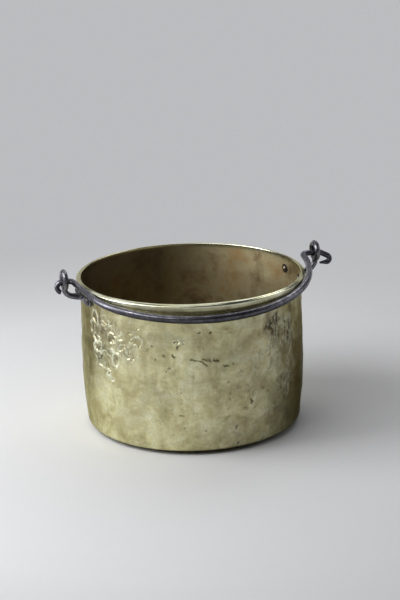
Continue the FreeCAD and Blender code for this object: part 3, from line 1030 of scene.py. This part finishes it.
def brass_material():
    """Old polished brass: cloudy wall, olive rim with a bright crest, brown inside, dark in the pits, with
    painted shade inside, on the right, under the roll and at the foot, and pale painted sheen on worn lips
    and ridges.
    """
    material, tree, shader = new_material("old_brass")
    shader.inputs["Specular Tint"].default_value = edge_tint
    clouds = noise_value(tree, 26, 9, distortion=0.6, roughness=0.62)
    blotches = noise_value(tree, 12, 8, distortion=0.8, roughness=0.66)
    green = noise_value(tree, 22, 9, distortion=0.4, roughness=0.72)
    streaks = noise_value(tree, 70, 6, stretch=(1, 1, 0.14), distortion=0.5, roughness=0.65)
    specks = noise_value(tree, 170, 6, roughness=0.75)
    flecks = noise_value(tree, 120, 5, stretch=(0.3, 0.3, 1), roughness=0.7)
    wall = ramp(tree, clouds, *wall_tones)
    wall = over(tree, blotches, 0.50, 0.64, 0.6, wall, blotch_colour)
    wall = over(tree, green, 0.52, 0.66, 0.55, wall, green_colour)
    wall = over(tree, streaks, 0.50, 0.72, 0.5, wall, streak_colour)
    wall = over(tree, specks, 0.53, 0.70, 0.55, wall, speck_colour)
    wall = over(tree, flecks, 0.53, 0.68, 0.35, wall, fleck_colour)

    # Tarnish colours, laid over the wall as tarnish in dents and patches, and as painted shade on the
    # right side and low down
    patches = noise_value(tree, 13, 5, distortion=0.5)
    tarnish_and_shade_tone = over(tree, patches, 0.42, 0.56, 1.0, green_tarnish_and_shade, brown_tarnish_and_shade)
    tarnish_and_shade_tone = over(tree, streaks, 0.46, 0.62, 0.7, tarnish_and_shade_tone, streaked_tarnish_and_shade)
    breaks = noise_value(tree, 55, 6, distortion=0.5, roughness=0.65)
    uneven = spread(tree, breaks, 0.38, 0.6, 0.5, 1.0)
    wall = blend(tree, combine(tree, "MULTIPLY", attribute(tree, "tarnish_and_shade"), uneven), wall, tarnish_and_shade_tone)

    rim = ramp(tree, clouds, *rim_tones)
    brown = noise_value(tree, 19, 8, distortion=0.3, roughness=0.62)
    inside = ramp(tree, brown, *inside_tones)
    # Colours laid over the wall: pale painted sheen, polish, patina, painted shade, and grime with painted
    # shade
    finish_and_shade_colours = {"worn_and_sheen": worn_and_sheen_colour, "polish": rim, "patina": inside,
                "painted_shade": painted_shade_colour, "grime_and_shade": grime_and_shade_colour}
    colour = wall
    for finish, other in finish_and_shade_colours.items():
        colour = blend(tree, attribute(tree, finish), colour, other)
    tree.links.new(colour, shader.inputs["Base Color"])

    rough = spread(tree, clouds, 0.35, 0.65, *cloud_roughness)
    for finish, value in finish_roughness.items():
        rough = blend(tree, attribute(tree, finish), rough, value, "FLOAT")
    tree.links.new(rough, shader.inputs["Roughness"])
    # Worn lips and ridges are less metallic, so that they look pale: painted sheen
    metal = blend(tree, attribute(tree, "worn_and_sheen"), 1.0, worn_and_sheen_metal, "FLOAT")
    tree.links.new(metal, shader.inputs["Metallic"])
    bump(tree, shader, noise_value(tree, 320, 4), 0.12, 0.0004)
    return material


def iron_material(name, dark, light, roughness, rust, second=None):
    """Blackened forged iron with worn lighter places and a trace of rust.

    roughness is the most and the least of it. second is a colour that takes over by a value of
    the mesh: the value's name, where it starts, where it is full, and the colour.
    """
    material, tree, shader = new_material(name)
    scale = noise_value(tree, 90, 6, distortion=0.5)
    colour = ramp(tree, scale, (0.35, dark), (0.65, light))
    rusty = noise_value(tree, 45, 5, distortion=1.0, roughness=0.65)
    colour = over(tree, rusty, 0.60, 0.75, rust, colour, rust_colour)
    if second:
        value, start, full, other = second
        colour = over(tree, attribute(tree, value), start, full, 1.0, colour, other)
    tree.links.new(colour, shader.inputs["Base Color"])
    tree.links.new(spread(tree, scale, 0.3, 0.7, *roughness), shader.inputs["Roughness"])
    bump(tree, shader, noise_value(tree, 420, 5), 0.25, 0.0005)
    return material


brass = brass_material()
# The bail's underside is drawn darker: painted shade
bail_iron = iron_material(
    "bail_iron", dark=(0.10, 0.099, 0.115), light=(0.23, 0.228, 0.26),
    roughness=(0.36, 0.22), rust=0.2, second=("under", 0.3, 0.75, painted_underside_shade))
lug_iron = iron_material(
    "lug_iron", dark=(0.07, 0.069, 0.078), light=(0.22, 0.218, 0.24), roughness=(0.40, 0.24), rust=0.3)
rivet_iron = iron_material(
    "rivet_iron", dark=(0.06, 0.056, 0.058), light=(0.13, 0.125, 0.13),
    roughness=(0.55, 0.36), rust=0.4, second=("within", 2.2, 3.4, brass_on_rivet))
hoop_iron = iron_material(
    "hoop_iron", dark=(0.06, 0.056, 0.055), light=(0.12, 0.115, 0.115), roughness=(0.6, 0.45), rust=0.5)

shown("brass_pot", brass_mesh(), brass, "pot", "brass", "brass_body")
shown("iron_bail", bail_mesh(), bail_iron, "bail", "bail_iron", "bail_handle")
for number, side in enumerate(("left", "right")):
    lug = forged_copy("lug_" + side, "iron_lug_" + side, *lug_forging, number)
    shown("iron_lug_" + side, lug, lug_iron, "pot", "forged_iron", "lug_" + side)
    for place in ("front", "back"):
        node = "rivet_" + side + "_" + place
        rivet = forged_copy(node, "iron_" + node, *rivet_forging, number + rivet_seed)
        from_axis = [math.hypot(vertex.co.x, vertex.co.y) for vertex in rivet.vertices]
        point_values(rivet, "within", neck_outside - sheet - np.array(from_axis) / MM)
        shown("iron_" + node, rivet, rivet_iron, "pot", "rivet_iron", node)
        dress(frame["nodes"]["rove_" + side + "_" + place].data, rivet_iron)
dress(frame["nodes"]["rim_hoop"].data, hoop_iron)

# Stage: a pale floor that fades into one far tone, which the sky carries on, and soft panels

half_floor = 7.0
floor_drop = 0.0001
floor_look = {"Base Color": (0.74, 0.745, 0.76, 1), "Roughness": 0.7, "Specular IOR Level": 0.2}
far_fade = (0.6, 1.15)
far_colour = (0.50, 0.505, 0.52, 1)
sky_colour = (0.96, 0.97, 1.0, 1)
sky_pale = 0.52
sky_dim = 0.04
sky_fade = (0.04, 0.14)
floor_sides = ((-1, -1), (1, -1), (1, 1), (-1, 1))
floor_mesh = bpy.data.meshes.new("floor")
floor_mesh.from_pydata([(x * half_floor, y * half_floor, 0) for x, y in floor_sides], [], [(0, 1, 2, 3)])
floor = new_object("floor", floor_mesh)
floor.location.z = -floor_drop
floor_material, floor_tree, floor_shader = new_material("pale_floor", metal=0.0)
for name, value in floor_look.items():
    floor_shader.inputs[name].default_value = value
dress(floor_mesh, floor_material)


def seen_share(tree):
    """One for rays seen directly, in a reflection or through glass, and nought for other light."""
    path = new_node(tree, "LightPath")
    seen = path.outputs["Is Camera Ray"]
    for kind in ("Is Glossy Ray", "Is Transmission Ray"):
        seen = combine(tree, "MAXIMUM", seen, path.outputs[kind])
    return seen


def far_tone(tree, shader):
    """Fades the floor into one pale tone away from the pot, where it is seen."""
    place = new_node(tree, "NewGeometry")
    away = new_node(tree, "VectorMath", Vector=place.outputs["Position"])
    away.operation = "LENGTH"
    far = spread(tree, away.outputs["Value"], *far_fade, 0.0, 1.0)
    share = combine(tree, "MULTIPLY", seen_share(tree), far)
    tone = new_node(tree, "Emission", Color=far_colour)
    mixed = new_node(tree, "MixShader", Fac=share)
    tree.links.new(shader.outputs["BSDF"], mixed.inputs[1])
    tree.links.new(tone.outputs["Emission"], mixed.inputs[2])
    tree.links.new(mixed.outputs["Shader"], tree.nodes["Material Output"].inputs["Surface"])


far_tone(floor_tree, floor_shader)


def polar(azimuth, reach, height):
    """Point at an azimuth, a distance from the pot's axis and a height, in metres."""
    turn = math.radians(azimuth)
    return Vector((reach * math.cos(turn), reach * math.sin(turn), height))


pot_middle = Vector((0, 0, pot_height * MM / 2))
front_floor = polar(-152, 0.75, 0)

# Soft panels: place, what each is aimed at, upright length, width and power
soft_lights = {
    "key_light": (polar(172, 1.6, 1.1), pot_middle, 1.7, 1.2, 29),
    "back_light": (polar(80, 1.12, 1.78), pot_middle, 1.2, 2.6, 8),
    "rim_light": (polar(40, 1.34, 1.61), pot_middle, 0.6, 0.6, 1.8),
    "front_light": (polar(-158, 1.2, 1.1), front_floor, 0.9, 0.9, 4.0),
    "high_light": (polar(-144, 1.3, 1.75), pot_middle, 1.1, 1.4, 9.5),
    "top_light": (polar(74, 0.35, 2.0), pot_middle, 0.9, 0.9, 2.0),
    "side_card": (polar(-8, 1.6, 0.9), pot_middle, 1.2, 1.3, 3.0),
    "back_card": (polar(74, 2.0, 0.6), pot_middle, 1.1, 3.4, 7.0),
}
for name, (place, target, length, width, power) in soft_lights.items():
    data = bpy.data.lights.new(name, "AREA")
    data.shape = "RECTANGLE"
    data.size = width
    data.size_y = length
    data.energy = power
    light = new_object(name, data)
    light.location = place
    light.rotation_euler = (target - place).to_track_quat("-Z", "Y").to_euler()

world = bpy.data.worlds.new("studio")
world.use_nodes = True


def pale_sky(tree):
    """Carries the floor's far tone on above the horizon, where it is seen, and dims it upwards."""
    sky = tree.nodes["Background"]
    sky.inputs["Color"].default_value = sky_colour
    place = new_node(tree, "TexCoord")
    ways = new_node(tree, "SeparateXYZ", Vector=place.outputs["Generated"])
    pale = spread(tree, ways.outputs["Z"], *sky_fade, sky_pale, sky_dim)
    tree.links.new(blend(tree, seen_share(tree), sky_dim, pale, "FLOAT"), sky.inputs["Strength"])


pale_sky(world.node_tree)
bpy.context.scene.world = world
bpy.context.scene.view_settings.view_transform = "Standard"

# Camera, fitted to the rim, the base and the eyes in the photograph

camera_place = (-0.6891, -2.4032, 0.9659)
camera_heading = math.radians(16.326)
camera_pitch = math.radians(17.035)
camera_roll = math.radians(-1.479)
focal_pixels = 1610.8
long_side_pixels = 600

ahead = Vector((math.sin(camera_heading) * math.cos(camera_pitch),
                math.cos(camera_heading) * math.cos(camera_pitch), -math.sin(camera_pitch)))
level = Vector((math.cos(camera_heading), -math.sin(camera_heading), 0))
upright = level.cross(ahead)
image_right = math.cos(camera_roll) * level + math.sin(camera_roll) * upright
image_up = math.cos(camera_roll) * upright - math.sin(camera_roll) * level
camera_data = bpy.data.cameras.new("camera")
camera_data.lens = focal_pixels / long_side_pixels * camera_data.sensor_width
camera = new_object("camera", camera_data)
facing = Matrix((image_right, image_up, -ahead)).transposed().to_4x4()
camera.matrix_world = Matrix.Translation(camera_place) @ facing
bpy.context.scene.camera = camera
